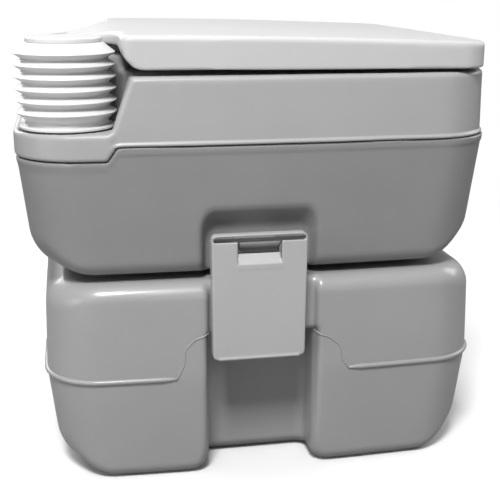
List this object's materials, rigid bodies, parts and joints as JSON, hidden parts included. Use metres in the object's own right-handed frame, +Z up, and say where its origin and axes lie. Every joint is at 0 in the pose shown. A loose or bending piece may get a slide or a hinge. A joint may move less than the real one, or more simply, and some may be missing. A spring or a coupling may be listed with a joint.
{
  "type": "portable camp toilet",
  "caption": "Portable flushing camp toilet: bellows pump, bowl with seat and lid on a flush tank, held by side latches to a removable waste tank with a slide valve.",
  "frame": {"origin": "on the ground under the middle of the unit", "axes": "+X to the front, away from the seat hinge, +Y to the user's left when seated, +Z up"},
  "size_m": [0.4218, 0.381, 0.3989],
  "materials": {
    "tank_plastic": "satin moulded grey polyethylene",
    "lid_plastic": "satin moulded light grey",
    "latch_plastic": "satin moulded grey",
    "pump_plastic": "smooth white",
    "valve_plastic": "fine-grained dark grey",
    "seal_rubber": "matt black",
    "screw_steel": "plain stainless",
    "hose_plastic": "milky flexible tube"
  },
  "bodies": {
    "waste_unit": {"waste_tank": "tank_plastic", "valve_base": "valve_plastic", "valve_seal": "seal_rubber", "valve_cover": "valve_plastic", "valve_screws": "screw_steel", "tank_gasket": "seal_rubber"},
    "valve_gate": {"valve_plate": "pump_plastic", "valve_handle": "valve_plastic"},
    "drain_closure": {"drain_cap": "latch_plastic", "drain_cap_gasket": "seal_rubber"},
    "flush_unit": {"flush_tub": "tank_plastic", "top_deck": "tank_plastic", "bowl": "lid_plastic", "bowl_gasket": "seal_rubber", "bowl_screws": "screw_steel", "pump_base": "valve_plastic", "pump_gasket": "seal_rubber", "pump_bellows": "pump_plastic", "inlet_cage": "pump_plastic", "pickup_tube": "hose_plastic", "pickup_strainer": "valve_plastic", "flush_hose": "hose_plastic", "spray_nozzle": "valve_plastic", "hinge_pin_right": "valve_plastic", "hinge_pin_left": "valve_plastic"},
    "pump_plunger": {"pump_cap": "pump_plastic"},
    "inlet_valve": {"inlet_ball": "screw_steel"},
    "seat": {"seat_ring": "lid_plastic", "seat_bumpers": "seal_rubber"},
    "lid": {"lid_shell": "lid_plastic", "lid_bumpers": "seal_rubber"},
    "fill_closure": {"fill_cap": "latch_plastic", "fill_cap_gasket": "seal_rubber"},
    "right_latch": {"latch_right": "latch_plastic"},
    "left_latch": {"latch_left": "latch_plastic"}
  },
  "joints": [
    {"name": "flush_unit_lift", "type": "slide", "parent": "waste_unit", "child": "flush_unit", "axis": [0, 0, 1], "range_m": [0, 0.15]},
    {"name": "valve_slide", "type": "slide", "parent": "waste_unit", "child": "valve_gate", "axis": [1, 0, 0], "range_m": [0, 0.108]},
    {"name": "drain_cap_turn", "type": "hinge", "parent": "waste_unit", "child": "drain_closure", "pos_m": [-0.175, 0, 0.115], "axis": [-1, 0, 0], "range_deg": [0, 540]},
    {"name": "pump_press", "type": "slide", "parent": "flush_unit", "child": "pump_plunger", "axis": [0, 0, -1], "range_m": [0, 0.04], "deforming": ["pump_bellows"]},
    {"name": "inlet_ball_lift", "type": "slide", "parent": "flush_unit", "child": "inlet_valve", "axis": [0, 0, 1], "range_m": [0, 0.004]},
    {"name": "seat_hinge", "type": "hinge", "parent": "flush_unit", "child": "seat", "pos_m": [-0.198, 0, 0.374], "axis": [0, -1, 0], "range_deg": [0, 92]},
    {"name": "lid_hinge", "type": "hinge", "parent": "seat", "child": "lid", "pos_m": [-0.198, 0, 0.374], "axis": [0, -1, 0], "range_deg": [0, 96]},
    {"name": "fill_cap_turn", "type": "hinge", "parent": "flush_unit", "child": "fill_closure", "pos_m": [-0.167, 0.1246, 0.33], "axis": [0, 0, 1], "range_deg": [0, 540]},
    {"name": "right_latch_hinge", "type": "hinge", "parent": "flush_unit", "child": "right_latch", "pos_m": [-0.01, -0.18, 0.222], "axis": [-1, 0, 0], "range_deg": [0, 100]},
    {"name": "left_latch_hinge", "type": "hinge", "parent": "flush_unit", "child": "left_latch", "pos_m": [-0.01, 0.18, 0.222], "axis": [1, 0, 0], "range_deg": [0, 100]}
  ]
}
